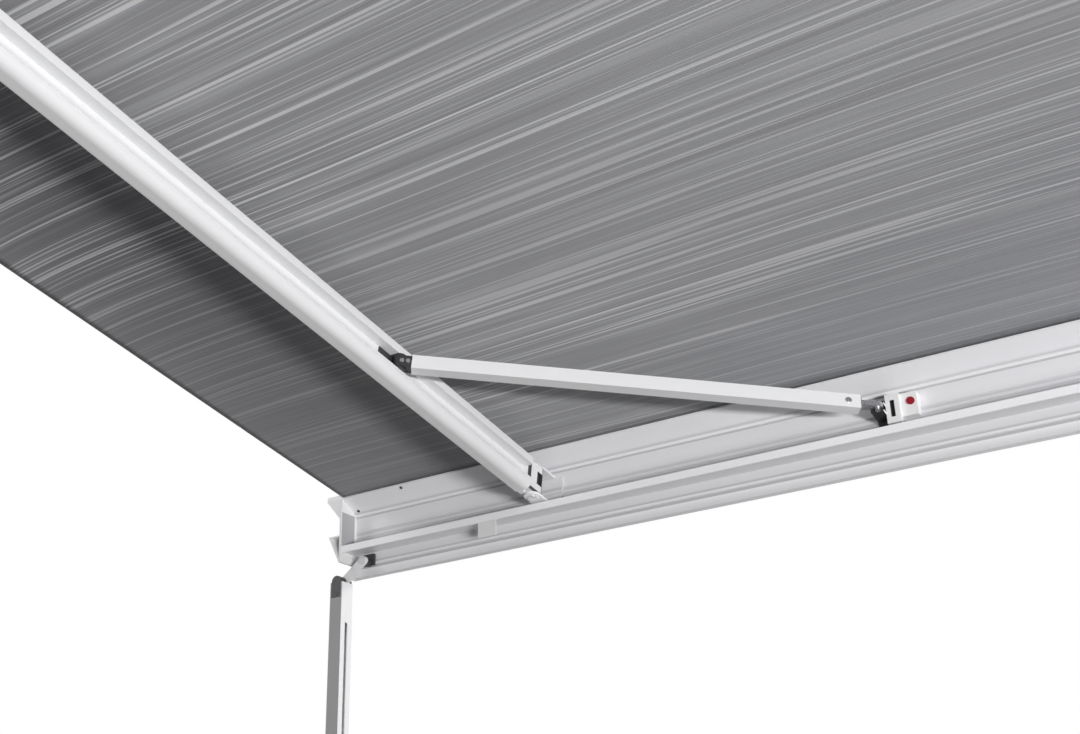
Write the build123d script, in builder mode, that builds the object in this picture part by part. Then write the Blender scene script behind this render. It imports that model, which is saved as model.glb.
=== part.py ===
"""Roll-out awning for a caravan or camper: a wall cassette with a geared roller, a sloping canopy,
a lead rail with two folding rafters, two rafter braces and two folding telescopic legs.

The wall plane is y = 0, the front is -Y, +Z is up and X runs along the width. The origin is the
centre of the middle wall bracket's bolt pattern. "Right" is +X, seen from the front.
"""

import os
from math import atan2, cos, degrees, hypot, pi, radians, sin

from build123d import *

os.makedirs("parts", exist_ok=True)

# Whole awning
canopy_width = 3946
canopy_length = 2250
canopy_thickness = 1.2
slope_angle = 10.8
rail_height_above_ground = 2060
running_gap = 0.3
shaft_clearance = 0.05
cut_overrun = 6

# Cassette
cassette_depth = 125
cassette_half_height = 75
cassette_wall = 2.5
cassette_crown = 13
cassette_end_thickness = 15
cassette_side_margin = 12
cassette_corner = 8
cap_screw_inset = 16
cap_screw_drop = 24
mouth_low = 26
mouth_high = 58
hood_drop = 12

# Wall brackets
bracket_thickness = 6
bracket_width = 80
bracket_height = 120
bracket_spacing = 1600
bracket_bolt_spacing = 60
bracket_bolt_radius = 4.25
bracket_shelf_depth = 46
bracket_shelf_thickness = 4
bracket_shelf_screw_inset = 30
screw_radius = 3
screw_head_radius = 5.5
screw_head_height = 4
screw_length = 12
screw_hole_clearance = 0.15

# Roller
roller_y = -72
roller_z = 8
roller_radius = 35
roller_wall = 2
fabric_wraps_thickness = 4
plug_length = 60
plug_flange = 6
journal_radius = 10
bush_wall = 4
bush_length = 12

# Gear
wheel_teeth = 24
wheel_outer_radius = 30
wheel_root_radius = 26
wheel_pitch_radius = 28.5
wheel_width = 8
wheel_slot_width = 5
worm_core_radius = 6
worm_outer_radius = 9.3
worm_turns = 4
worm_phase = 0.25
worm_thread_sink = 0.75
worm_half_turn = 180
worm_thread_tip = 1.8
worm_thread_base = 2.6
worm_centre_distance = 36.6
worm_collar_radius = 9
worm_collar_height = 5
worm_top_reach = 22
gear_gap = 6.5
gear_case_wall = 3
gear_case_width = 31
gear_case_margin = 6
eye_ring_radius = 16
eye_rod_radius = 4
eye_clearance = 8

# Lead rail section, measured down and forward from the back lower edge of its fabric slot
rail_wall = 2.2
rail_channel_depth = 33
rail_ridge_depth = 30.5
rail_ridge_top = 17
rail_ridge_bottom = 20.4
rail_groove_top = 43
rail_groove_bottom = 51.9
rail_groove_depth = 1.5
lip_top = 69.2
lip_bottom = 78.9
lip_thickness = 2.5
shelf_top = 73.5
shelf_bottom = 76.5
bead_top = 90.2
bead_bottom = 93.5
bead_height = 2
band_top = 98
band_height = 1.5
rail_bottom = 109.4
rail_foot_depth = 36
rail_front_depth = 66
rail_front_level = 52
rail_brow_depth = 52
rail_brow_level = 8
rail_shin_depth = 60
rail_shin_level = 88
rail_top_back = 6.8
rail_crown_depth = 12
rail_crown_level = 9.5
slot_low = 2.2
slot_high = 4.2
slot_depth = 9
keder_groove_radius = 3.4
keder_radius = 3.1
canopy_lift = 2.6
canopy_tuck = 5.5
rail_chamber_back_level = 10.5
rail_chamber_back_depth = 26
rail_chamber_top = 1.5

# Lead rail end caps
cap_reach = 27
cap_skin = 3
cap_notch_top = 29
cap_notch_bottom = 53
cap_tail_level = 92
cap_top_margin = 3
cap_lower_reach = 22
cap_pocket_depth = 14
cap_pocket_wall = 2
cap_pocket_low = 84

# Rafters, in the frame of the canopy plane
rafter_inset = 324
rafter_pivot_depth = 3
rafter_width = 25
rafter_height = 46.5
rafter_drop = 19
rafter_outer_length = 1232
rafter_end_gap = 23
rafter_overlap = 300
rafter_wall = 1.9
rafter_groove_depth = 13.5
rafter_groove_height = 19.4
rafter_upper_flange = 11.7
rafter_corner = 3
rafter_belly_radius = 11
rafter_line_width = 1
rafter_line_depth = 0.6
inner_clearance = 0.25
inner_wall = 1.5
foot_pad_length = 30
knuckle_plug = 24
knuckle_radius = 11
knuckle_window_depth = 5.5
knuckle_window_behind = 3
knuckle_window_ahead = 9
knuckle_window_height = 18
hinge_pin_radius = 4
hinge_pin_head_radius = 6
hinge_pin_head_height = 3
hinge_plate_thickness = 3
hinge_plate_gap = 0.7
knuckle_plate_set_in = 5.3
hinge_plate_half_width = 11
hinge_back_thickness = 4
hinge_back_half_width = 22
hinge_back_low = 68
hinge_back_high = 30

# Rafter braces
brace_offset = 9
brace_rafter_reach = 303
brace_rail_reach = 459
brace_width = 15
brace_height = 17.4
brace_wall = 1.5
brace_start = 7
brace_end_setback = 21
brace_tongue = 6
brace_plug = 20
brace_pin_radius = 3
block_ear_gap = 0.3
block_ear_thickness = 2.2
block_ear_radius = 7.6
block_behind = 12
block_ahead = 28
block_play = 0.2
block_base = 1.4
rivet_radius = 2.6
rivet_height = 0.9
rivet_spacing = 7
rivet_inset = 17
face_rivet_inset = 3.2
face_rivet_spacing = 7

# Brace slider
ear_behind = 9
ear_ahead = 6
ear_gap = 0.5
ear_thickness = 2.5
ear_side_reach = 1
ear_front_reach = 3.3
web_thickness = 3.4
web_high = 27
web_low = 64
key_height = 6
key_depth = 1.1
catch_length = 16
catch_face_depth = 14
catch_high = 27
catch_low = 62
catch_slot_width = 5
catch_slot_height = 20
catch_slot_depth = 5
plate_length = 19
plate_face_depth = 20
plate_high = 27
plate_low = 55
button_radius = 4.6
button_level = 38
button_inset = 12
button_proud = 1.6
button_length = 5.5

# Legs, measured from the canopy's free edge outward and from the rail edge down
arm_pivot_inset = 28
arm_pivot_level = 91
leg_pivot_outset = 7
leg_pivot_level = 118
arm_half_width = 6
arm_thickness = 5
arm_back_depth = 14
arm_pin_radius = 3
arm_pin_head_radius = 5
arm_pin_head_height = 2
bracket_back_thickness = 4
bracket_pad_half_width = 10
bracket_pad_low = 96
bracket_pad_high = 80
bracket_boss_radius = 6
leg_width = 20
leg_depth = 24
leg_back_depth = 1.5
leg_wall = 1.5
leg_outer_length = 1200
leg_overlap = 321
knuckle_top = 8
cheek_drop = 1
knuckle_bottom = 23
knuckle_shank = 25
knuckle_slot_gap = 0.3
knuckle_slot_depth = 8
knuckle_rivet_drop = 18
knuckle_rivet_radius = 2.5
leg_slot_width = 6
leg_slot_start = 34
leg_slot_end = 60
leg_inner_gap = 0.25
leg_foot_height = 20
leg_foot_reach = 46
leg_foot_socket = 24
leg_foot_plate = 6
leg_foot_peg_radius = 4.5
leg_foot_peg_inset = 14
lever_length = 70
lever_thickness = 5
lever_width = 16
lever_gap = 0.5
lever_lug_height = 12
lever_lug_thickness = 2.5
lever_pin_radius = 2
lever_pivot_rise = 30
clip_inset = 247
clip_width = 28
clip_drop = 21
clip_thickness = 1.4
clip_back = 0.2

# Worked out from the sizes above
slope_sin = sin(radians(slope_angle))
slope_cos = cos(radians(slope_angle))
canopy_half = canopy_width / 2
roll_radius = roller_radius + fabric_wraps_thickness
tangent_radius = roll_radius + running_gap - canopy_lift
edge_y = roller_y - tangent_radius * slope_sin - canopy_length * slope_cos
edge_z = roller_z + tangent_radius * slope_cos - canopy_length * slope_sin
ground_z = edge_z - rail_height_above_ground
cassette_back = -bracket_thickness
cassette_front = cassette_back - cassette_depth
cassette_half = canopy_half + cassette_side_margin

slope = Plane(origin=(0, edge_y, edge_z), x_dir=(1, 0, 0), z_dir=(0, -slope_sin, slope_cos))
rafter_x = canopy_half - rafter_inset
rafter_top = -rafter_drop
rafter_bottom = rafter_top - rafter_height
groove_top = rafter_top - rafter_upper_flange
groove_bottom = groove_top - rafter_groove_height
groove_middle = (groove_top + groove_bottom) / 2
hinge_u = -rafter_pivot_depth
brace_x = rafter_x - brace_offset
brace_u = hinge_u + brace_rafter_reach
seat_x = rafter_x - brace_rail_reach
seat_u = hinge_u - brace_offset
brace_length = hypot(brace_x - seat_x, brace_u - seat_u)
arm_x = canopy_half - arm_pivot_inset
leg_x = canopy_half + leg_pivot_outset
leg_middle_depth = leg_back_depth + leg_depth / 2


def write(name, piece):
    """Label a finished piece and write its file."""
    piece.part.label = name
    export_step(piece.part, f"parts/{name}.step")


def write_pair(name, piece):
    """Write a piece of the right-hand end and its mirror image for the left-hand end."""
    write(f"{name}_right", piece)
    with BuildPart() as twin:
        mirror(piece.part, about=Plane.YZ)
    write(f"{name}_left", twin)


def block(plane, first, second, height, mode=Mode.ADD):
    """Add a cuboid over two ranges of a plane's own axes, with a height along its normal."""
    with BuildSketch(plane) as base:
        with Locations(((first[0] + first[1]) / 2, (second[0] + second[1]) / 2)):
            Rectangle(first[1] - first[0], second[1] - second[0])
    extrude(base.sketch, amount=height, mode=mode)


def world_block(x, y, z, mode=Mode.ADD):
    """Add a cuboid over ranges of the world axes."""
    block(Plane.XY.offset(z[0]), x, y, z[1] - z[0], mode)


def rail_block(x, depth, level, mode=Mode.ADD):
    """Add a cuboid over a range of x, of depth in front of the rail's edge and of level below it."""
    world_block(x, (edge_y - depth[1], edge_y - depth[0]), (edge_z - level[1], edge_z - level[0]), mode)


def slope_block(x, u, q, mode=Mode.ADD):
    """Add a cuboid over ranges of x, of u up the slope and of q above the canopy plane."""
    block(slope.offset(q[0]), x, u, q[1] - q[0], mode)


def slope_disc(x, u, q, radius, mode=Mode.ADD):
    """Add an upright cylinder of the slope frame over a range of q."""
    with BuildSketch(slope.offset(q[0])) as base:
        with Locations((x, u)):
            Circle(radius)
    extrude(base.sketch, amount=q[1] - q[0], mode=mode)


def forward_disc(x, depth, level, radius, mode=Mode.ADD):
    """Add a cylinder that points forward from the rail's edge over a range of depth."""
    plane = Plane(origin=(x, edge_y - depth[0], edge_z - level), x_dir=(1, 0, 0), z_dir=(0, -1, 0))
    with BuildSketch(plane) as base:
        Circle(radius)
    extrude(base.sketch, amount=depth[1] - depth[0], mode=mode)


def across_disc(x, y, z, radius, mode=Mode.ADD):
    """Add a cylinder along X over a range of x."""
    with BuildSketch(Plane(origin=(x[0], y, z), x_dir=(0, 1, 0), z_dir=(1, 0, 0))) as base:
        Circle(radius)
    extrude(base.sketch, amount=x[1] - x[0], mode=mode)


def rail_spot(depth, level):
    """Turn a depth and a level of the rail's section into y and z."""
    return (edge_y - depth, edge_z - level)


def slope_spot(down, up):
    """Turn a place in the canopy's frame into y and z."""
    return (edge_y - down * slope_cos - up * slope_sin, edge_z - down * slope_sin + up * slope_cos)


# Wall brackets
bracket_places = (-bracket_spacing, 0, bracket_spacing)
shelf_z = -cassette_half_height - bracket_shelf_thickness
screw_y = cassette_back - bracket_shelf_screw_inset
with BuildPart() as wall_brackets:
    for place in bracket_places:
        sides = (place - bracket_width / 2, place + bracket_width / 2)
        world_block(sides, (cassette_back, 0), (shelf_z, bracket_height / 2))
        world_block(sides, (cassette_back - bracket_shelf_depth, 0), (shelf_z, -cassette_half_height))
    with Locations([Plane(origin=(place, 0, 0), x_dir=(1, 0, 0), z_dir=(0, 1, 0))
                    for place in bracket_places]):
        with Locations((0, bracket_bolt_spacing / 2), (0, -bracket_bolt_spacing / 2)):
            Cylinder(bracket_bolt_radius, cassette_depth, mode=Mode.SUBTRACT)
    with Locations([(place, screw_y, shelf_z) for place in bracket_places]):
        Cylinder(screw_radius + screw_hole_clearance, screw_length, mode=Mode.SUBTRACT)
write("wall_brackets", wall_brackets)

with BuildPart() as bracket_screws:
    with Locations([(place, screw_y, shelf_z) for place in bracket_places]):
        Cylinder(screw_head_radius, screw_head_height, align=(Align.CENTER, Align.CENTER, Align.MAX))
        Cylinder(screw_radius, screw_length, align=(Align.CENTER, Align.CENTER, Align.MIN))
write("bracket_screws", bracket_screws)


# Cassette
def cassette_outline(inset):
    """Draw the cassette's closed section, drawn in all round by an inset."""
    back = cassette_back - inset
    front = cassette_front + inset
    floor = -cassette_half_height + inset
    shoulder = cassette_half_height - inset
    brow = mouth_high + hood_drop - inset
    crown = ((back + front) / 2, cassette_half_height + cassette_crown - inset)
    with BuildLine() as outline:
        Line((front, brow), (front, floor))
        Line((front, floor), (back, floor))
        Line((back, floor), (back, shoulder))
        ThreePointArc((back, shoulder), crown, (front, brow))
    make_face(outline.edges())


with BuildPart() as cassette_housing:
    with BuildSketch(Plane.YZ.offset(-cassette_half)):
        cassette_outline(0)
        fillet(vertices().group_by(Axis.Y)[0].sort_by(SortBy.DISTANCE)[-1], cassette_corner)
    extrude(amount=2 * cassette_half)
    with BuildSketch(Plane.YZ.offset(-cassette_half)):
        cassette_outline(cassette_wall)
    extrude(amount=2 * cassette_half, mode=Mode.SUBTRACT)
    world_block(
        (-cassette_half, cassette_half),
        (cassette_front, cassette_front + 2 * cassette_wall),
        (mouth_low, mouth_high),
        Mode.SUBTRACT,
    )
    with Locations([(place, screw_y, -cassette_half_height) for place in bracket_places]):
        Cylinder(screw_radius + screw_hole_clearance, screw_length, mode=Mode.SUBTRACT)
write("cassette_housing", cassette_housing)

cap_screw_spots = ((cassette_back - cap_screw_inset, cassette_half_height - cap_screw_drop),
                   (cassette_back - cap_screw_inset, -cassette_half_height + cap_screw_inset),
                   ((cassette_back + cassette_front) / 2, -cassette_half_height + cap_screw_inset))
cassette_end = cassette_half + cassette_end_thickness
for side, name in ((1, "right"), (-1, "left")):
    bore = journal_radius + shaft_clearance + (bush_wall + shaft_clearance if side > 0 else 0)
    with BuildPart() as cassette_cap:
        with BuildSketch(Plane.YZ.offset(side * cassette_half)):
            cassette_outline(0)
        extrude(amount=side * cassette_end_thickness)
        across_disc((side * (cassette_half - cut_overrun), side * (cassette_end + cut_overrun)),
                    roller_y, roller_z, bore, Mode.SUBTRACT)
        for spot in cap_screw_spots:
            across_disc((side * cassette_half, side * cassette_end), *spot,
                        screw_radius + screw_hole_clearance, Mode.SUBTRACT)
    write(f"cassette_end_cap_{name}", cassette_cap)

with BuildPart() as cassette_screws:
    for side in (1, -1):
        for spot in cap_screw_spots:
            across_disc((side * (cassette_end - screw_length), side * cassette_end), *spot, screw_radius)
            across_disc((side * cassette_end, side * (cassette_end + screw_head_height)), *spot,
                        screw_head_radius)
write("cassette_screws", cassette_screws)

with BuildPart() as roller_bush:
    across_disc((cassette_end - bush_length, cassette_end), roller_y, roller_z, journal_radius + bush_wall)
    across_disc((cassette_end - bush_length - cut_overrun, cassette_end - cassette_wall),
                roller_y, roller_z, journal_radius + shaft_clearance, Mode.SUBTRACT)
write("roller_bush", roller_bush)

# Roller and gear
tube_half = canopy_half + cassette_wall
with BuildPart() as roller_tube:
    across_disc((-tube_half, tube_half), roller_y, roller_z, roller_radius)
    across_disc((-tube_half, tube_half), roller_y, roller_z, roller_radius - roller_wall, Mode.SUBTRACT)
write("roller_tube", roller_tube)

plug_radius = roller_radius - roller_wall - shaft_clearance
wheel_x = -cassette_end - gear_case_wall - gear_gap
shaft_reach = {1: cassette_end - cassette_wall - running_gap, -1: -wheel_x + wheel_width + gear_gap}
for side, name in ((1, "right"), (-1, "left")):
    with BuildPart() as roller_plug:
        across_disc((side * (tube_half - plug_length), side * tube_half), roller_y, roller_z, plug_radius)
        across_disc((side * tube_half, side * (tube_half + plug_flange)), roller_y, roller_z, roller_radius)
        across_disc((side * tube_half, side * shaft_reach[side]), roller_y, roller_z, journal_radius)
    write(f"roller_plug_{name}", roller_plug)

with BuildPart() as fabric_roll:
    across_disc((-canopy_half, canopy_half), roller_y, roller_z, roll_radius)
    across_disc((-canopy_half, canopy_half), roller_y, roller_z, roller_radius + shaft_clearance,
                Mode.SUBTRACT)
write("fabric_roll", fabric_roll)

with BuildPart() as worm_wheel:
    across_disc((wheel_x - wheel_width, wheel_x), roller_y, roller_z, wheel_outer_radius)
    across_disc((wheel_x - wheel_width, wheel_x), roller_y, roller_z, journal_radius + shaft_clearance,
                Mode.SUBTRACT)
    wheel_face = Plane(origin=(wheel_x - wheel_width, roller_y, roller_z), x_dir=(0, 1, 0), z_dir=(1, 0, 0))
    slot_middle = (wheel_root_radius + wheel_outer_radius + cut_overrun) / 2
    with BuildSketch(wheel_face):
        with PolarLocations(slot_middle, wheel_teeth, start_angle=worm_half_turn):
            Rectangle(wheel_outer_radius + cut_overrun - wheel_root_radius, wheel_slot_width)
    extrude(amount=wheel_width, mode=Mode.SUBTRACT)
write("worm_wheel", worm_wheel)

worm_pitch = 2 * pi * wheel_pitch_radius / wheel_teeth
worm_x = wheel_x - wheel_width / 2
worm_y = roller_y - worm_centre_distance
worm_start = -worm_pitch * (worm_phase + worm_turns / 2)
case_half_height = wheel_outer_radius + gear_case_margin
case_floor = roller_z - case_half_height
eye_top = case_floor - gear_case_wall - worm_collar_height
with BuildPart() as worm_shaft:
    with Locations((worm_x, worm_y, roller_z)):
        Cylinder(worm_core_radius, 2 * worm_top_reach, rotation=(0, 0, worm_half_turn))
    with BuildPart(mode=Mode.PRIVATE) as thread:
        with BuildLine():
            turns = Helix(worm_pitch, worm_pitch * worm_turns, worm_core_radius)
        with BuildSketch(Plane(origin=turns @ 0, x_dir=(1, 0, 0), z_dir=turns % 0)):
            with BuildLine():
                Polyline(
                    (-worm_thread_sink, worm_thread_base / 2),
                    (worm_outer_radius - worm_core_radius, worm_thread_tip / 2),
                    (worm_outer_radius - worm_core_radius, -worm_thread_tip / 2),
                    (-worm_thread_sink, -worm_thread_base / 2),
                    close=True,
                )
            make_face()
        sweep(path=turns, is_frenet=True)
    with Locations((worm_x, worm_y, roller_z + worm_start)):
        add(thread.solid())
    world_block(
        (worm_x - worm_core_radius / 2, worm_x + worm_core_radius / 2),
        (worm_y - worm_core_radius / 2, worm_y + worm_core_radius / 2),
        (eye_top, roller_z - worm_top_reach),
    )
    with Locations((worm_x, worm_y, case_floor)):
        Cylinder(worm_core_radius, worm_collar_height + gear_case_wall,
                 align=(Align.CENTER, Align.CENTER, Align.MAX))
        Cylinder(worm_core_radius, roller_z - worm_top_reach - case_floor,
                 align=(Align.CENTER, Align.CENTER, Align.MIN))
write("worm_shaft", worm_shaft)

ring_z = -cassette_half_height - eye_clearance - eye_ring_radius
with BuildPart() as crank_eye:
    with Locations(Plane(origin=(worm_x, worm_y, ring_z), x_dir=(0, 1, 0), z_dir=(1, 0, 0))):
        Torus(eye_ring_radius, eye_rod_radius)
    with Locations((worm_x, worm_y, eye_top)):
        Cylinder(worm_collar_radius, eye_top - ring_z - eye_ring_radius,
                 align=(Align.CENTER, Align.CENTER, Align.MAX))
write("crank_eye", crank_eye)

case_x = (-cassette_end - gear_case_width, -cassette_end)
case_y = (worm_y - worm_outer_radius - gear_case_margin, roller_y + wheel_outer_radius + gear_case_margin)
case_z = (case_floor - gear_case_wall, roller_z + case_half_height)
inner_y = (case_y[0] + gear_case_wall, case_y[1] - gear_case_wall)
inner_z = (case_floor, case_z[1] - gear_case_wall)
with BuildPart() as gear_housing:
    world_block(case_x, case_y, case_z)
    world_block((case_x[0], case_x[1] - gear_case_wall), inner_y, inner_z, Mode.SUBTRACT)
    across_disc((-cassette_end - cut_overrun, -cassette_end + cut_overrun), roller_y, roller_z,
                journal_radius + shaft_clearance, Mode.SUBTRACT)
    with Locations((worm_x, worm_y, case_floor)):
        Cylinder(worm_core_radius + shaft_clearance, 2 * cut_overrun, mode=Mode.SUBTRACT)
write("gear_housing", gear_housing)

with BuildPart() as gear_cover:
    world_block((case_x[0] - gear_case_wall, case_x[0]), case_y, case_z)
    world_block(
        (case_x[0], case_x[0] + gear_case_wall),
        (inner_y[0] + running_gap, inner_y[1] - running_gap),
        (inner_z[0] + running_gap, inner_z[1] - running_gap),
    )
    world_block(
        (case_x[0], case_x[0] + gear_case_wall),
        (inner_y[0] + gear_case_wall, inner_y[1] - gear_case_wall),
        (inner_z[0] + gear_case_wall, inner_z[1] - gear_case_wall),
        Mode.SUBTRACT,
    )
write("gear_cover", gear_cover)

# Canopy
with BuildPart() as canopy:
    slope_block((-canopy_half, canopy_half), (-canopy_tuck, canopy_length),
                (canopy_lift, canopy_lift + canopy_thickness))
write("canopy", canopy)


# Lead rail
def rail_front(inset):
    """Draw the rail's curved front from its foot to its crown, drawn in by an inset."""
    foot = rail_spot(rail_foot_depth, rail_bottom + rail_wall - inset)
    shin = rail_spot(rail_shin_depth - inset, rail_shin_level - inset)
    front = rail_spot(rail_front_depth - inset, rail_front_level)
    brow = rail_spot(rail_brow_depth - inset, rail_brow_level + inset)
    return foot, shin, front, brow


channel_back = rail_channel_depth
with BuildPart() as lead_rail:
    foot, shin, front, brow = rail_front(0)
    crown = rail_spot(rail_crown_depth, -rail_crown_level)
    with BuildSketch(Plane.YZ.offset(-canopy_half)):
        with BuildLine():
            Polyline(
                foot,
                rail_spot(channel_back - band_height, rail_bottom),
                rail_spot(channel_back - band_height, band_top),
                rail_spot(channel_back, band_top),
                rail_spot(channel_back, bead_bottom),
                rail_spot(channel_back - bead_height, bead_bottom),
                rail_spot(channel_back - bead_height, bead_top),
                rail_spot(channel_back, bead_top),
                rail_spot(channel_back, shelf_bottom),
                rail_spot(lip_thickness, shelf_bottom),
                rail_spot(lip_thickness, lip_bottom),
                rail_spot(0, lip_bottom),
                rail_spot(0, lip_top),
                rail_spot(lip_thickness, lip_top),
                rail_spot(lip_thickness, shelf_top),
                rail_spot(channel_back, shelf_top),
                rail_spot(channel_back, rail_groove_bottom),
                rail_spot(channel_back + rail_groove_depth, rail_groove_bottom),
                rail_spot(channel_back + rail_groove_depth, rail_groove_top),
                rail_spot(channel_back, rail_groove_top),
                rail_spot(channel_back, rail_ridge_bottom),
                rail_spot(rail_ridge_depth, rail_ridge_bottom),
                rail_spot(rail_ridge_depth, rail_ridge_top),
                rail_spot(0, 0),
                slope_spot(0, rail_top_back),
                crown,
            )
            ThreePointArc(crown, brow, front)
            ThreePointArc(front, shin, foot)
        make_face()
    extrude(amount=canopy_width)
    inner_foot, inner_shin, inner_front, inner_brow = rail_front(rail_wall)
    chamber_back = channel_back + rail_groove_depth + rail_wall
    chamber_corner = rail_spot(rail_chamber_back_depth, -rail_chamber_top)
    low_corner = rail_spot(chamber_back + rail_wall, rail_bottom - rail_wall)
    with BuildSketch(Plane.YZ.offset(-canopy_half)):
        with BuildLine():
            Polyline(
                low_corner,
                rail_spot(chamber_back, rail_bottom - rail_wall),
                rail_spot(chamber_back, rail_ridge_top),
                rail_spot(rail_chamber_back_depth, rail_chamber_back_level),
                chamber_corner,
            )
            ThreePointArc(chamber_corner, inner_brow, inner_front)
            ThreePointArc(inner_front, inner_shin, low_corner)
        make_face()
    extrude(amount=canopy_width, mode=Mode.SUBTRACT)
    slope_block((-canopy_half, canopy_half), (-slot_depth, cut_overrun), (slot_low, slot_high),
                Mode.SUBTRACT)
    groove_y, groove_z = slope_spot(slot_depth, (slot_low + slot_high) / 2)
    across_disc((-canopy_half, canopy_half), groove_y, groove_z, keder_groove_radius, Mode.SUBTRACT)
write("lead_rail", lead_rail)

with BuildPart() as keder_rod:
    across_disc((-canopy_half, canopy_half), groove_y, groove_z, keder_radius)
write("keder_rod", keder_rod)

with BuildPart() as rail_cap:
    with BuildSketch(Plane.YZ.offset(canopy_half)):
        with BuildLine():
            Polyline(
                foot,
                rail_spot(channel_back - band_height, rail_bottom + rail_wall),
                rail_spot(channel_back - band_height, cap_tail_level),
                rail_spot(0, cap_tail_level),
                rail_spot(0, 0),
                slope_spot(0, rail_top_back),
                crown,
            )
            ThreePointArc(crown, brow, front)
            ThreePointArc(front, shin, foot)
        make_face()
    extrude(amount=cap_reach)
    silhouette = Plane(origin=(canopy_half, edge_y, edge_z), x_dir=(1, 0, 0), z_dir=(0, -1, 0))
    with BuildSketch(silhouette):
        with BuildLine():
            Polyline(
                (0, rail_crown_level + cap_top_margin),
                (cap_reach, rail_crown_level + cap_top_margin),
                (cap_reach, 0),
                (cap_skin, -cap_notch_top),
                (cap_skin, -cap_notch_bottom),
                (cap_lower_reach, -cap_notch_bottom),
                (cap_skin, -cap_tail_level),
                (cap_skin, -rail_bottom - 2 * rail_wall),
                (0, -rail_bottom - 2 * rail_wall),
                close=True,
            )
        make_face()
    extrude(amount=rail_front_depth + cut_overrun, mode=Mode.INTERSECT)
    with BuildSketch(silhouette):
        with BuildLine():
            Polyline(
                (cap_skin, -cap_notch_bottom - cap_pocket_wall),
                (cap_lower_reach - 2 * cap_pocket_wall, -cap_notch_bottom - cap_pocket_wall),
                (cap_skin + cap_pocket_wall, -cap_pocket_low),
                (cap_skin, -cap_pocket_low),
                close=True,
            )
        make_face()
    extrude(amount=cap_pocket_depth, mode=Mode.SUBTRACT)
write_pair("rail_end_cap", rail_cap)

with BuildPart() as leg_clips:
    for side in (1, -1):
        middle = side * (canopy_half - clip_inset)
        rail_block(
            (middle - clip_width / 2, middle + clip_width / 2),
            (-clip_back, clip_thickness - clip_back),
            (lip_bottom, lip_bottom + clip_drop),
        )
write("leg_clips", leg_clips)

# Rafter hinges on the rail
knuckle_q = (rafter_bottom + knuckle_plate_set_in, rafter_top - knuckle_plate_set_in)
plate_levels = ((knuckle_q[0] - hinge_plate_gap - hinge_plate_thickness, knuckle_q[0] - hinge_plate_gap),
                (knuckle_q[1] + hinge_plate_gap, knuckle_q[1] + hinge_plate_gap + hinge_plate_thickness))
with BuildPart() as hinge_bracket:
    for level in plate_levels:
        slope_block((rafter_x - hinge_plate_half_width, rafter_x + hinge_plate_half_width),
                    (-2 * channel_back, hinge_u), level)
        slope_disc(rafter_x, hinge_u, level, hinge_plate_half_width)
        slope_disc(rafter_x, hinge_u, level, hinge_pin_radius + shaft_clearance, Mode.SUBTRACT)
    rail_block(
        (rafter_x - hinge_back_half_width, rafter_x + hinge_back_half_width),
        (channel_back - hinge_back_thickness, channel_back),
        (hinge_back_high, hinge_back_low),
    )
    rail_block((rafter_x - rafter_width, rafter_x + rafter_width), (channel_back, 3 * channel_back),
               (-channel_back, rail_bottom), Mode.SUBTRACT)
write_pair("rafter_hinge_bracket", hinge_bracket)

pin_span = (plate_levels[0][0], plate_levels[1][1])
with BuildPart() as hinge_pin:
    slope_disc(rafter_x, hinge_u, pin_span, hinge_pin_radius)
    slope_disc(rafter_x, hinge_u, (pin_span[0] - hinge_pin_head_height, pin_span[0]), hinge_pin_head_radius)
write_pair("rafter_hinge_pin", hinge_pin)

# Rafters
half_width = rafter_width / 2
outer_start = hinge_u + rafter_end_gap
outer_end = outer_start + rafter_outer_length
groove_floor = half_width - rafter_groove_depth
bore_x = (rafter_x - groove_floor + rafter_wall, rafter_x + half_width - rafter_wall)
bore_q = (rafter_bottom + rafter_wall, rafter_top - rafter_wall)
with BuildPart() as rafter_profile:
    slope_block((rafter_x - half_width, rafter_x + half_width), (outer_start, outer_end),
                (rafter_bottom, rafter_top))
    upslope = Axis(origin=(0, 0, 0), direction=slope.y_dir)
    fillet(edges().filter_by(upslope).group_by(Axis.Z)[-1], rafter_corner)
    fillet(edges().filter_by(upslope).group_by(Axis.Z)[0].sort_by(Axis.X)[-1:], rafter_corner)
    fillet(edges().filter_by(upslope).group_by(Axis.Z)[0].sort_by(Axis.X)[:1], rafter_belly_radius)
    slope_block((rafter_x - half_width - cut_overrun, rafter_x - groove_floor), (outer_start, outer_end),
                (groove_bottom, groove_top), Mode.SUBTRACT)
    line_q = (rafter_bottom + rafter_belly_radius, rafter_bottom + rafter_belly_radius + rafter_line_width)
    slope_block((rafter_x - half_width - cut_overrun, rafter_x - half_width + rafter_line_depth),
                (outer_start, outer_end), line_q, Mode.SUBTRACT)
    slope_block(bore_x, (outer_start, outer_end), bore_q, Mode.SUBTRACT)
write_pair("rafter_profile", rafter_profile)

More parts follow.
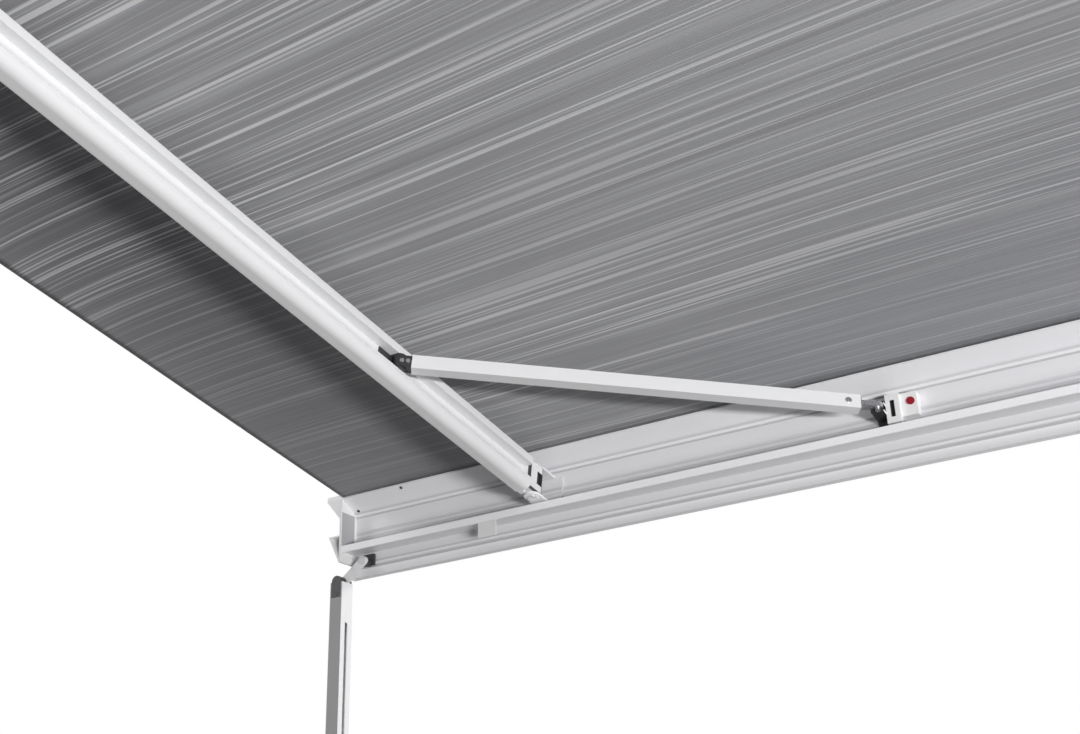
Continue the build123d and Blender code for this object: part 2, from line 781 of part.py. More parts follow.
plug_x = (bore_x[0] + inner_clearance, bore_x[1] - inner_clearance)
plug_q = (bore_q[0] + inner_clearance, bore_q[1] - inner_clearance)
knuckle_middle = (knuckle_q[0] + knuckle_q[1]) / 2
with BuildPart() as rafter_knuckle:
    slope_disc(rafter_x, hinge_u, knuckle_q, knuckle_radius)
    slope_block((rafter_x - knuckle_radius, rafter_x + knuckle_radius), (hinge_u, outer_start - running_gap),
                knuckle_q)
    slope_block(plug_x, (outer_start - knuckle_radius, outer_start + knuckle_plug), plug_q)
    slope_disc(rafter_x, hinge_u, (rafter_bottom, rafter_top), hinge_pin_radius + shaft_clearance,
               Mode.SUBTRACT)
    slope_block((rafter_x - knuckle_radius - cut_overrun, rafter_x - knuckle_radius + knuckle_window_depth),
                (hinge_u - knuckle_window_behind, hinge_u + knuckle_window_ahead),
                (knuckle_middle - knuckle_window_height / 2, knuckle_middle + knuckle_window_height / 2),
                Mode.SUBTRACT)
write_pair("rafter_knuckle", rafter_knuckle)

foot_face_y = cassette_front - running_gap
foot_u = (foot_face_y - edge_y) / slope_cos
inner_start = outer_end - rafter_overlap
inner_end = foot_u - foot_pad_length
with BuildPart() as rafter_inner:
    slope_block(plug_x, (inner_start, inner_end), plug_q)
    slope_block(
        (plug_x[0] + inner_wall, plug_x[1] - inner_wall),
        (inner_start, inner_end),
        (plug_q[0] + inner_wall, plug_q[1] - inner_wall),
        Mode.SUBTRACT,
    )
write_pair("rafter_inner_tube", rafter_inner)

with BuildPart() as wall_foot:
    slope_block((rafter_x - half_width, rafter_x + half_width), (inner_end, foot_u + rafter_height),
                (rafter_bottom, rafter_top))
    world_block(
        (rafter_x - rafter_width, rafter_x + rafter_width),
        (foot_face_y, foot_face_y + 2 * rafter_height),
        (-2 * cassette_half_height, cassette_half_height),
        Mode.SUBTRACT,
    )
write_pair("rafter_wall_foot", wall_foot)

# Brace pivot on the rafter
floor_x = rafter_x - groove_floor
brace_q = (groove_middle - brace_height / 2, groove_middle + brace_height / 2)
tongue_q = (groove_middle - brace_tongue / 2, groove_middle + brace_tongue / 2)
pivot_q = (groove_bottom + block_play + block_ear_thickness + block_ear_gap,
           groove_top - block_play - block_ear_thickness - block_ear_gap)
with BuildPart() as pivot_block:
    slope_block((floor_x - block_base, floor_x), (brace_u - block_behind, brace_u + block_ahead),
                (groove_bottom + block_play, groove_top - block_play))
    for level in ((groove_bottom + block_play, groove_bottom + block_play + block_ear_thickness),
                  (groove_top - block_play - block_ear_thickness, groove_top - block_play)):
        slope_disc(brace_x, brace_u, level, block_ear_radius)
        slope_block((brace_x, floor_x), (brace_u - block_ear_radius, brace_u + block_ear_radius), level)
    slope_disc(brace_x, brace_u, (groove_bottom + block_play, groove_top - block_play), brace_pin_radius)
    rivet_plane = Plane(origin=slope.from_local_coords((floor_x - block_base, 0, groove_middle)),
                        x_dir=slope.y_dir, z_dir=(-1, 0, 0))
    with BuildSketch(rivet_plane):
        with Locations(*[(brace_u + rivet_inset + step * rivet_spacing, 0) for step in range(2)]):
            Circle(rivet_radius)
    extrude(amount=rivet_height)
write_pair("brace_pivot_block", pivot_block)

# Brace, laid out along its own line from the rafter pivot to the rail seat
brace_origin = slope.from_local_coords((brace_x, brace_u, 0))
rail_end = slope.from_local_coords((seat_x, seat_u, 0))
brace_plane = Plane(origin=brace_origin, x_dir=rail_end - brace_origin, z_dir=slope.z_dir)


def brace_block(along, across, q, mode=Mode.ADD):
    """Add a cuboid along the brace, across it and over a range of q."""
    block(brace_plane.offset(q[0]), along, across, q[1] - q[0], mode)


def brace_disc(along, q, radius, mode=Mode.ADD):
    """Add an upright cylinder on the brace's line."""
    with BuildSketch(brace_plane.offset(q[0])) as base:
        with Locations((along, 0)):
            Circle(radius)
    extrude(base.sketch, amount=q[1] - q[0], mode=mode)


bore_half = brace_width / 2 - brace_wall
tube_start = block_ear_radius + brace_start
tube_end = brace_length - brace_end_setback
plug_levels = (brace_q[0] + brace_wall + shaft_clearance, brace_q[1] - brace_wall - shaft_clearance)
with BuildPart() as brace_tube:
    brace_block((tube_start, tube_end), (-brace_width / 2, brace_width / 2), brace_q)
    brace_block((tube_start, tube_end), (-bore_half, bore_half),
                (brace_q[0] + brace_wall, brace_q[1] - brace_wall), Mode.SUBTRACT)
write_pair("brace_tube", brace_tube)

with BuildPart() as brace_pivot_end:
    brace_disc(0, pivot_q, brace_width / 2)
    brace_block((0, tube_start - running_gap), (-brace_width / 2, brace_width / 2), pivot_q)
    brace_block((tube_start - running_gap, tube_start + brace_plug),
                (-bore_half + shaft_clearance, bore_half - shaft_clearance), plug_levels)
    brace_disc(0, pivot_q, brace_pin_radius + shaft_clearance, Mode.SUBTRACT)
    face_origin = brace_plane.from_local_coords((0, -brace_width / 2, groove_middle))
    with BuildSketch(Plane(origin=face_origin, x_dir=brace_plane.x_dir, z_dir=-brace_plane.y_dir)):
        with Locations(*[(face_rivet_inset + step * face_rivet_spacing, 0) for step in range(2)]):
            Circle(rivet_radius)
    extrude(amount=rivet_height)
write_pair("brace_pivot_end", brace_pivot_end)

hook_radius = brace_pin_radius + 2 * brace_wall
pin_q = (tongue_q[0] - ear_gap - ear_thickness, tongue_q[1] + ear_gap + ear_thickness)
with BuildPart() as brace_hook_end:
    brace_disc(brace_length, tongue_q, hook_radius)
    brace_block((tube_end - brace_plug, brace_length), (-hook_radius, hook_radius), tongue_q)
    brace_block((tube_end - brace_plug, tube_end + brace_wall),
                (-bore_half + shaft_clearance, bore_half - shaft_clearance), plug_levels)
    brace_disc(brace_length, pin_q, brace_pin_radius)
write_pair("brace_hook_end", brace_hook_end)

# Brace slider with its release button
web_depth = (channel_back - running_gap - web_thickness, channel_back - running_gap)
catch_x = (seat_x - ear_ahead - catch_length, seat_x - ear_ahead)
plate_x = (catch_x[0] - plate_length, catch_x[0])
catch_middle = (catch_high + catch_low) / 2
button_x = catch_x[0] - button_inset
key_middle = (rail_groove_top + rail_groove_bottom) / 2
with BuildPart() as brace_slider:
    for level in ((pin_q[0], tongue_q[0] - ear_gap), (tongue_q[1] + ear_gap, pin_q[1])):
        slope_block((seat_x - ear_ahead, seat_x + ear_behind),
                    (-2 * channel_back, seat_u - ear_front_reach), level)
        slope_block((seat_x + ear_front_reach, seat_x + ear_behind),
                    (seat_u - ear_front_reach, seat_u - ear_side_reach), level)
    rail_block((plate_x[0], seat_x + ear_behind), (web_depth[1], 3 * channel_back), (0, rail_bottom),
               Mode.SUBTRACT)
    rail_block((plate_x[0], seat_x + ear_behind), web_depth, (web_high, web_low))
    rail_block((plate_x[0], seat_x + ear_behind), (web_depth[0], channel_back + key_depth),
               (key_middle - key_height / 2, key_middle + key_height / 2))
    rail_block(catch_x, (catch_face_depth, web_depth[1]), (catch_high, catch_low))
    slot_x = catch_x[1] - catch_length / 2
    rail_block(
        (slot_x - catch_slot_width / 2, slot_x + catch_slot_width / 2),
        (catch_face_depth, catch_face_depth + catch_slot_depth),
        (catch_middle - catch_slot_height / 2, catch_middle + catch_slot_height / 2),
        Mode.SUBTRACT,
    )
    rail_block(plate_x, (plate_face_depth, web_depth[1]), (plate_high, plate_low))
    forward_disc(button_x, (plate_face_depth, web_depth[1] - brace_wall / 2), button_level,
                 button_radius + shaft_clearance, Mode.SUBTRACT)
write_pair("brace_slider", brace_slider)

with BuildPart() as release_button:
    forward_disc(button_x,
                 (plate_face_depth - button_proud, plate_face_depth - button_proud + button_length),
                 button_level, button_radius)
write_pair("release_button", release_button)

# Leg bracket and arm
arm_depth = (arm_back_depth, arm_back_depth + arm_thickness)
pin_head = (arm_depth[0] - running_gap - arm_pin_head_height, arm_depth[0] - running_gap)
with BuildPart() as leg_brackets:
    for side in (1, -1):
        rail_block(
            (side * arm_x - bracket_pad_half_width, side * arm_x + bracket_pad_half_width),
            (channel_back - bead_height - bracket_back_thickness, channel_back - bead_height),
            (bracket_pad_high, bracket_pad_low),
        )
        forward_disc(side * arm_x, (arm_depth[1] + running_gap, channel_back - bead_height),
                     arm_pivot_level, bracket_boss_radius)
        forward_disc(side * arm_x, (pin_head[0], channel_back - bead_height),
                     arm_pivot_level, arm_pin_radius)
        forward_disc(side * arm_x, pin_head, arm_pivot_level, arm_pin_head_radius)
write("leg_brackets", leg_brackets)

arm_front = Plane(origin=(0, edge_y - arm_depth[0], edge_z), x_dir=(1, 0, 0), z_dir=(0, -1, 0))
arm_length = hypot(leg_x - arm_x, leg_pivot_level - arm_pivot_level)
arm_turn = degrees(atan2(arm_pivot_level - leg_pivot_level, leg_x - arm_x))
with BuildPart() as leg_arm:
    with BuildSketch(arm_front):
        with Locations(((arm_x + leg_x) / 2, -(arm_pivot_level + leg_pivot_level) / 2)):
            SlotCenterToCenter(arm_length, 2 * arm_half_width, rotation=arm_turn)
    extrude(amount=arm_thickness)
    for x, level in ((arm_x, arm_pivot_level), (leg_x, leg_pivot_level)):
        forward_disc(x, (0, channel_back), level, arm_pin_radius + shaft_clearance, Mode.SUBTRACT)
write_pair("leg_arm", leg_arm)

# Leg
leg_sides = (leg_x - leg_width / 2, leg_x + leg_width / 2)
leg_depths = (leg_back_depth, leg_back_depth + leg_depth)
tube_top = leg_pivot_level + knuckle_bottom
tube_low = tube_top + leg_outer_length
bore_sides = (leg_sides[0] + leg_wall, leg_sides[1] - leg_wall)
bore_depths = (leg_depths[0] + leg_wall, leg_depths[1] - leg_wall)
cheek_inner = (bore_sides[0] + running_gap, bore_sides[1] - running_gap)
with BuildPart() as leg_knuckle:
    rail_block(cheek_inner, leg_depths, (leg_pivot_level, tube_top))
    forward_disc(leg_x, leg_depths, leg_pivot_level, knuckle_top)
    rail_block(
        (bore_sides[0] + shaft_clearance, bore_sides[1] - shaft_clearance),
        (bore_depths[0] + shaft_clearance, bore_depths[1] - shaft_clearance),
        (tube_top, tube_top + knuckle_shank),
    )
    rail_block(
        (leg_sides[0] - cut_overrun, leg_sides[1] + cut_overrun),
        (arm_depth[0] - knuckle_slot_gap, arm_depth[1] + knuckle_slot_gap),
        (leg_pivot_level - 2 * knuckle_top, leg_pivot_level + knuckle_slot_depth),
        Mode.SUBTRACT,
    )
    forward_disc(leg_x, leg_depths, leg_pivot_level, arm_pin_radius)
    forward_disc(leg_x, (leg_depths[0] - rivet_height / 2, leg_depths[0]),
                 leg_pivot_level + knuckle_rivet_drop, knuckle_rivet_radius)
write_pair("leg_knuckle", leg_knuckle)

lug_x = (leg_sides[1], leg_sides[1] + lever_gap + lever_thickness + lever_pin_radius)
lever_level = tube_low - lever_pivot_rise
lever_pin_x = leg_sides[1] + lever_gap + lever_thickness / 2
lug_inner = lever_width / 2 + running_gap
with BuildPart() as leg_outer:
    rail_block(leg_sides, leg_depths, (tube_top, tube_low))
    rail_block(leg_sides, leg_depths, (leg_pivot_level + cheek_drop, tube_top))
    rail_block(bore_sides, bore_depths, (tube_top, tube_low), Mode.SUBTRACT)
    rail_block(bore_sides, leg_depths, (leg_pivot_level, tube_top), Mode.SUBTRACT)
    rail_block(
        (leg_sides[0] - cut_overrun, bore_sides[0] + leg_wall / 2),
        (leg_middle_depth - leg_slot_width / 2, leg_middle_depth + leg_slot_width / 2),
        (tube_top + leg_slot_start, tube_low - leg_slot_end),
        Mode.SUBTRACT,
    )
    for start in (leg_middle_depth - lug_inner - lever_lug_thickness, leg_middle_depth + lug_inner):
        rail_block(lug_x, (start, start + lever_lug_thickness),
                   (lever_level - lever_lug_height / 2, lever_level + lever_lug_height / 2))
        forward_disc(lever_pin_x, (start - cut_overrun, start + lever_lug_thickness + cut_overrun),
                     lever_level, lever_pin_radius + shaft_clearance, Mode.SUBTRACT)
write_pair("leg_outer_tube", leg_outer)

lever_x = (leg_sides[1] + lever_gap, leg_sides[1] + lever_gap + lever_thickness)
with BuildPart() as leg_lever:
    rail_block(lever_x, (leg_middle_depth - lever_width / 2, leg_middle_depth + lever_width / 2),
               (lever_level - lever_length, lever_level))
    forward_disc(lever_pin_x, (leg_middle_depth - lever_width / 2, leg_middle_depth + lever_width / 2),
                 lever_level, lever_thickness / 2)
    forward_disc(
        lever_pin_x,
        (leg_middle_depth - lug_inner - lever_lug_thickness,
         leg_middle_depth + lug_inner + lever_lug_thickness),
        lever_level,
        lever_pin_radius,
    )
write_pair("leg_lever", leg_lever)

inner_sides = (bore_sides[0] + leg_inner_gap, bore_sides[1] - leg_inner_gap)
inner_depths = (bore_depths[0] + leg_inner_gap, bore_depths[1] - leg_inner_gap)
foot_top = rail_height_above_ground - leg_foot_height
inner_top = tube_low - leg_overlap
with BuildPart() as leg_inner:
    rail_block(inner_sides, inner_depths, (inner_top, foot_top))
    rail_block(
        (inner_sides[0] + leg_wall, inner_sides[1] - leg_wall),
        (inner_depths[0] + leg_wall, inner_depths[1] - leg_wall),
        (inner_top, foot_top),
        Mode.SUBTRACT,
    )
write_pair("leg_inner_tube", leg_inner)

plate_depths = (-leg_foot_reach, leg_depths[1])
with BuildPart() as leg_foot:
    rail_block(leg_sides, plate_depths,
               (rail_height_above_ground - leg_foot_plate, rail_height_above_ground))
    rail_block(leg_sides, leg_depths, (foot_top - leg_foot_socket, rail_height_above_ground))
    rail_block(
        (inner_sides[0] - shaft_clearance, inner_sides[1] + shaft_clearance),
        (inner_depths[0] - shaft_clearance, inner_depths[1] + shaft_clearance),
        (foot_top - leg_foot_socket, foot_top),
        Mode.SUBTRACT,
    )
    with Locations((leg_x, edge_y + leg_foot_reach - leg_foot_peg_inset, ground_z)):
        Cylinder(leg_foot_peg_radius, 4 * leg_foot_plate, mode=Mode.SUBTRACT)
write_pair("leg_foot", leg_foot)
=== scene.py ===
import math

import bmesh
import bpy
from mathutils import Matrix, Vector


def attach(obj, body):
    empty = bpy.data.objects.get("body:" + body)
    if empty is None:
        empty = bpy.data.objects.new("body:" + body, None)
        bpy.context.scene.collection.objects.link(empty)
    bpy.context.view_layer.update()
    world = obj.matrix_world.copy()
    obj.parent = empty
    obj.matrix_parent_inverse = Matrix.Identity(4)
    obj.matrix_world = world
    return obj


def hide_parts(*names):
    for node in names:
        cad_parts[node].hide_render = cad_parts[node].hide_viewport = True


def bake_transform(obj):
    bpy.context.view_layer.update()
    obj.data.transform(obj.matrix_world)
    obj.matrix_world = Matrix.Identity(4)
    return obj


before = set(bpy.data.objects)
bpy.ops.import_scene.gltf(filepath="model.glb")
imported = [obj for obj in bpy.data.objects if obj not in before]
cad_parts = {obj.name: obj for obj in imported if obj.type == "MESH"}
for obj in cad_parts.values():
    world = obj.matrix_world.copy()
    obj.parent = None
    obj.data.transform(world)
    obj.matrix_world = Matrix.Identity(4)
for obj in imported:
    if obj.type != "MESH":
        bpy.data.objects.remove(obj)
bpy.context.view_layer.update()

# The same sizes as the CAD, in metres
SLOPE = math.radians(10.8)
SIN, COS = math.sin(SLOPE), math.cos(SLOPE)
CANOPY_HALF = 1.973
CANOPY_LENGTH = 2.25
CANOPY_LIFT = 0.0026
CANOPY_THICKNESS = 0.0012
CANOPY_TUCK = 0.0055
ROLLER_Y, ROLLER_Z = -0.072, 0.008
ROLLER_TANGENT = 0.0393 - CANOPY_LIFT
EDGE_Y = ROLLER_Y - ROLLER_TANGENT * SIN - CANOPY_LENGTH * COS
EDGE_Z = ROLLER_Z + ROLLER_TANGENT * COS - CANOPY_LENGTH * SIN
GROUND_Z = EDGE_Z - 2.060
RAFTER_X = CANOPY_HALF - 0.324
HINGE_U = -0.003
HINGE_BACK_HALF = 0.022
SEAT_X = RAFTER_X - 0.459
SEAT_U = HINGE_U - 0.009
BRACE_X = RAFTER_X - 0.009
BRACE_U = HINGE_U + 0.303
BRACE_HALF = 0.0075
GROOVE_MIDDLE = -0.0404


def slope_point(x, u, q):
    """A place in the canopy's frame: along the width, up the slope and square to it."""
    return Vector((x, EDGE_Y + u * COS - q * SIN, EDGE_Z + u * SIN + q * COS))


def rail_point(x, depth, level):
    """A place measured forward from the rail's back edge and down from it."""
    return Vector((x, EDGE_Y - depth, EDGE_Z - level))


def brace_line(m):
    """Both ends of a brace and the way its riveted face looks; m is 1 right and -1 left."""
    start = slope_point(m * BRACE_X, BRACE_U, GROOVE_MIDDLE)
    end = slope_point(m * SEAT_X, SEAT_U, GROOVE_MIDDLE)
    square = Vector((0, -SIN, COS))
    return start, end, square.cross((end - start).normalized()) * -m


# Materials
EVEN = (1, 1, 1)
CLOUD_STRETCH = (1.3, 1.3, 1.3)
MOTTLE_STRETCH = (30, 30, 30)
LINES_ALONG_X = (2.0, 700.0, 700.0)
NOISE_RANGE = (0.3, 0.7)
PLASTIC_GRAIN, PAINT_GRAIN = 900.0, 700.0


class Shader:
    """A node material with one Principled shader and a few shorthands."""

    def __init__(self, name, color, rough, metallic=0.0):
        self.mat = bpy.data.materials.new(name)
        self.mat.use_nodes = True
        self.tree = self.mat.node_tree
        self.bsdf = self.tree.nodes["Principled BSDF"]
        self.bsdf.inputs["Base Color"].default_value = (*color, 1)
        self.bsdf.inputs["Roughness"].default_value = rough
        self.bsdf.inputs["Metallic"].default_value = metallic

    def node(self, kind, **settings):
        made = self.tree.nodes.new(kind)
        for key, value in settings.items():
            setattr(made, key, value)
        return made

    def link(self, out, into):
        self.tree.links.new(out, into)

    def place(self, scale, coord="Object", turn=(0, 0, 0)):
        """Coordinates stretched by a scale on each axis."""
        source = self.node("ShaderNodeTexCoord")
        mapping = self.node("ShaderNodeMapping")
        mapping.inputs["Scale"].default_value = scale
        mapping.inputs["Rotation"].default_value = turn
        self.link(source.outputs[coord], mapping.inputs["Vector"])
        return mapping.outputs["Vector"]

    def parts(self, vector):
        """The three numbers of a vector."""
        split = self.node("ShaderNodeSeparateXYZ")
        self.link(vector, split.inputs["Vector"])
        return split.outputs["X"], split.outputs["Y"], split.outputs["Z"]

    def noise(self, vector, scale, detail=2.0, rough=0.5):
        made = self.node("ShaderNodeTexNoise")
        made.inputs["Scale"].default_value = scale
        made.inputs["Detail"].default_value = detail
        made.inputs["Roughness"].default_value = rough
        self.link(vector, made.inputs["Vector"])
        return made.outputs["Fac"]

    def ramp(self, value, low, high, first=0.0, last=1.0):
        made = self.node("ShaderNodeMapRange")
        made.inputs["From Min"].default_value = low
        made.inputs["From Max"].default_value = high
        made.inputs["To Min"].default_value = first
        made.inputs["To Max"].default_value = last
        self.link(value, made.inputs["Value"])
        return made.outputs["Result"]

    def math(self, operation, *terms):
        made = self.node("ShaderNodeMath", operation=operation)
        for at, value in enumerate(terms):
            if isinstance(value, (int, float)):
                made.inputs[at].default_value = value
            else:
                self.link(value, made.inputs[at])
        return made.outputs["Value"]

    def times(self, first, *others):
        """The product of several values."""
        for other in others:
            first = self.math("MULTIPLY", first, other)
        return first

    def rail_place(self):
        """Distance from the middle of the width, depth and level in the rail's own frame."""
        x, y, z = self.parts(self.node("ShaderNodeTexCoord").outputs["Object"])
        away = self.math("ABSOLUTE", x)
        return away, self.math("SUBTRACT", EDGE_Y, y), self.math("SUBTRACT", EDGE_Z, z)

    def underside(self):
        """One where a face looks down, and zero where it looks up."""
        normal = self.node("ShaderNodeNewGeometry").outputs["True Normal"]
        return self.ramp(self.parts(normal)[2], -0.1, 0.1, 1.0, 0.0)

    def near(self, value, middle, reach):
        """One where a value lies within a reach of a middle, and zero elsewhere."""
        return self.math("COMPARE", value, middle, reach)

    def block(self, away, depth, level):
        """One inside a block on the rail, given by its middle and reach on each axis."""
        sides = zip(self.rail_place(), (away, depth, level))
        return self.times(*(self.near(value, *side) for value, side in sides))

    def steps(self, value, stops):
        """A curve through (position, tone) stops, with both from zero to one."""
        made = self.node("ShaderNodeValToRGB")
        points = made.color_ramp.elements
        while len(points) < len(stops):
            points.new(1.0)
        for point, (at, tone) in zip(points, stops):
            point.position = at
            point.color = (tone, tone, tone, 1)
        self.link(value, made.inputs["Fac"])
        return made.outputs["Color"]

    def mix(self, factor, first, second):
        made = self.node("ShaderNodeMix", data_type="RGBA")
        self.link(factor, made.inputs["Factor"])
        for at, value in (("A", first), ("B", second)):
            socket = [s for s in made.inputs if s.name == at and s.type == "RGBA"][0]
            if isinstance(value, tuple):
                socket.default_value = (*value, 1)
            else:
                self.link(value, socket)
        return [s for s in made.outputs if s.type == "RGBA"][0]

    def cloudy(self, low, high):
        """Two tones that change slowly over a large surface."""
        broad = self.noise(self.place(CLOUD_STRETCH), 2.0, 3.0)
        return self.mix(self.ramp(broad, *NOISE_RANGE), low, high)

    def mottled(self, low, high):
        """Two tones that change within a small piece."""
        return self.mix(self.noise(self.place(MOTTLE_STRETCH), 2.0, 3.0), low, high)

    def paint(self, color):
        self.link(color, self.bsdf.inputs["Base Color"])

    def bump(self, height, strength, distance=0.0005):
        made = self.node("ShaderNodeBump")
        made.inputs["Strength"].default_value = strength
        made.inputs["Distance"].default_value = distance
        self.link(height, made.inputs["Height"])
        self.link(made.outputs["Normal"], self.bsdf.inputs["Normal"])

    def grain(self, scale=PLASTIC_GRAIN, stretch=EVEN, strength=0.05):
        """The fine roughness of paint or moulded plastic."""
        self.bump(self.noise(self.place(stretch), scale, 2.0), strength)


def shade(color, factor):
    """A colour made darker or brighter."""
    return tuple(min(1.0, c * factor) for c in color)


def neutral(tone):
    """A colour without a hue."""
    return (tone, tone, tone)


def coated(name, color, rough, grain, stretch=EVEN, change=0.03, depth=0.05):
    """A painted or moulded surface with a faint change of tone and a fine grain."""
    s = Shader(name, color, rough)
    s.paint(s.cloudy(shade(color, 1 - change), shade(color, 1 + change)))
    s.grain(grain, stretch, depth)
    return s


def drawn(name, color, rough, along):
    """Metal with fine lines along one axis, as it leaves a die or a brush."""
    s = Shader(name, color, rough, 1.0)
    stretch = tuple(3.0 if axis == along else 900.0 for axis in "xyz")
    lines = s.noise(s.place(stretch), 1.0, 3.0, 0.6)
    s.paint(s.mix(s.ramp(lines, *NOISE_RANGE), shade(color, 0.94), shade(color, 1.06)))
    s.link(s.ramp(lines, *NOISE_RANGE, rough * 0.8, rough * 1.2), s.bsdf.inputs["Roughness"])
    s.bump(lines, 0.08, 0.0003)
    return s


WHITE = (0.80, 0.80, 0.81)
WHITE_PLASTIC = neutral(0.80)
DARK_PLASTIC = (0.035, 0.035, 0.038)
DARK_TONES = (0.030, 0.030, 0.033), (0.042, 0.042, 0.045)
ALUMINIUM = (0.72, 0.73, 0.75)
RAIL_WHITE = (0.84, 0.835, 0.855)
# Painted shade for the pocket beside the rafter's hinge
POCKET_SHADE = (0.05, 0.05, 0.055)

# Edges of painted places: two depths or levels in metres, where the paint is none and full
INNER_DEPTH = (0.042, 0.040)
# Edges of the lip's painted highlight
LIP_DEPTH, LIP_LEVEL = (0.0030, 0.0027), (0.060, 0.061)
PIN_DEPTH = (0.0140, 0.0138)
# Painted shade on the leg's face towards the wall
LEG_SHADED_BACK_DEPTH = (0.0022, 0.0018)
POCKET_LEVEL = (0.0665, 0.0655)

# Painted places: a middle and a reach in metres, of one measure or of away, depth and level
# Painted shade on the ends of a hinge bracket's back plate
HINGE_END_SHADE_AWAY = (RAFTER_X - HINGE_BACK_HALF, 0.0004)
PIN_LEVEL = (0.091, 0.0055)
# Painted shade on the slider's hook ears
HOOK_EARS_SHADE_AWAY = (SEAT_X + 0.0025, 0.0080)
# Painted shade in the pocket beside the rafter's hinge
POCKET_AWAY = (RAFTER_X - 0.0080, 0.0027)
# Painted shade in the slider's catch slot
CATCH_SLOT_SHADE = ((SEAT_X - 0.0140, 0.00255), (0.0170, 0.00285), (0.0445, 0.0101))
# Painted shade on the end cap's face inside the channels
CAP_SHADED_FACE = ((CANOPY_HALF, 0.0006), (0.0155, 0.0140), (0.045, 0.026))

# Painted shade lines and painted highlights on the rail's inner face: millimetres below its back
# edge, and tone
RAIL_SHADE_HIGHLIGHT_BANDS = (
    (0.0, 1.03), (13.2, 1.01), (14.6, 0.94), (15.4, 0.76), (16.6, 0.78), (17.0, 1.00),
    (20.3, 1.00), (20.5, 0.62), (21.6, 0.64), (22.6, 0.91), (34.0, 0.93), (42.4, 0.89),
    (43.2, 0.80), (45.0, 0.68), (46.4, 0.69), (47.4, 0.84), (49.4, 0.87), (50.6, 0.78),
    (51.9, 0.72), (54.0, 0.98), (76.0, 1.08), (76.6, 0.85), (86.0, 0.85), (88.4, 0.64),
    (90.2, 0.66), (90.4, 0.98), (93.4, 0.98), (94.2, 0.60), (97.8, 0.60), (98.2, 1.08),
    (101.0, 0.99), (109.0, 0.82),
)
BANDS_REACH = 120.0
# Painted highlight on the rail's lip
LIP_HIGHLIGHT_TONE = 1.13
# Painted shade on the ends of a hinge bracket's back plate
HINGE_END_SHADE_TONE = 0.68
DARKEST, SPAN = 0.50, 0.70


def band_share(tone):
    """A tone as a share of the way from the darkest band to the brightest."""
    return (tone - DARKEST) / SPAN


def rail_look(name, end_shade_share=0.0):
    """White paint whose inner side has painted shade lines between its ribs and painted highlights
    on them.

    A share above zero paints shade on the faces at the ends of a hinge bracket's back plate.
    """
    s = Shader(name, RAIL_WHITE, 0.34)
    away, depth, level = s.rail_place()
    stops = [(at / BANDS_REACH, band_share(tone)) for at, tone in RAIL_SHADE_HIGHLIGHT_BANDS]
    # Painted shade lines and painted highlights across the rail's inner face, by level
    tone = s.steps(s.ramp(level, 0.0, BANDS_REACH / 1000), stops)
    # Painted highlight on the lip
    lip_highlight = s.times(s.ramp(depth, *LIP_DEPTH), s.ramp(level, *LIP_LEVEL))
    tone = s.mix(lip_highlight, tone, neutral(band_share(LIP_HIGHLIGHT_TONE)))
    brightest = tuple(c * (DARKEST + SPAN) for c in RAIL_WHITE)
    inner = s.mix(tone, shade(RAIL_WHITE, DARKEST), brightest)
    # Painted shade on the hinge bracket's end faces
    end_shade = s.near(away, *HINGE_END_SHADE_AWAY)
    inner = s.mix(s.times(end_shade, end_shade_share), inner, shade(RAIL_WHITE, HINGE_END_SHADE_TONE))
    outer = s.cloudy(shade(RAIL_WHITE, 0.97), shade(RAIL_WHITE, 1.03))
    s.paint(s.mix(s.ramp(depth, *INNER_DEPTH), outer, inner))
    s.grain(1.0, LINES_ALONG_X)
    return s


def cap_look():
    """White plastic whose face inside the rail's channels has painted shade in grey, up to a thin
    white edge.
    """
    s = Shader("cap_white", WHITE_PLASTIC, 0.45)
    # Painted shade: the cap's face inside the channels is painted grey
    s.paint(s.mix(s.block(*CAP_SHADED_FACE), s.mottled(neutral(0.78), neutral(0.83)), (0.42, 0.42, 0.43)))
    s.grain()
    return s


def leg_bracket_look():
    """Dark plastic with a pale pin head."""
    s = Shader("bracket_dark", DARK_PLASTIC, 0.42)
    _, depth, level = s.rail_place()
    head = s.times(s.ramp(depth, *PIN_DEPTH), s.near(level, *PIN_LEVEL))
    s.paint(s.mix(head, s.mottled(*DARK_TONES), (0.62, 0.62, 0.63)))
    s.grain()
    return s


def slider_look():
    """White plastic with painted shade: its hook ears and catch slot are painted black as shadow.
    """
    s = Shader("slider_white", WHITE_PLASTIC, 0.4)
    away, _, _ = s.rail_place()
    # Painted shade: hook ears and catch slot painted black
    dark = s.math("MAXIMUM", s.near(away, *HOOK_EARS_SHADE_AWAY), s.block(*CATCH_SLOT_SHADE))
    s.paint(s.mix(dark, s.mottled(neutral(0.80), neutral(0.86)), (0.03, 0.03, 0.032)))
    s.grain()
    return s


def leg_look():
    """White tube with painted light: brighter than the other white paint, and its face towards the
    wall painted grey as shade.
    """
    s = Shader("leg_white", WHITE, 0.38)
    _, depth, _ = s.rail_place()
    # Painted light: the tube is painted brighter than the other white paint, and its back is
    # painted grey as shade
    pale = s.cloudy(shade(WHITE, 1.13), shade(WHITE, 1.19))
    shaded_back_paint = s.cloudy(neutral(0.30), neutral(0.34))
    s.paint(s.mix(s.ramp(depth, *LEG_SHADED_BACK_DEPTH), pale, shaded_back_paint))
    s.grain(PAINT_GRAIN)
    return s


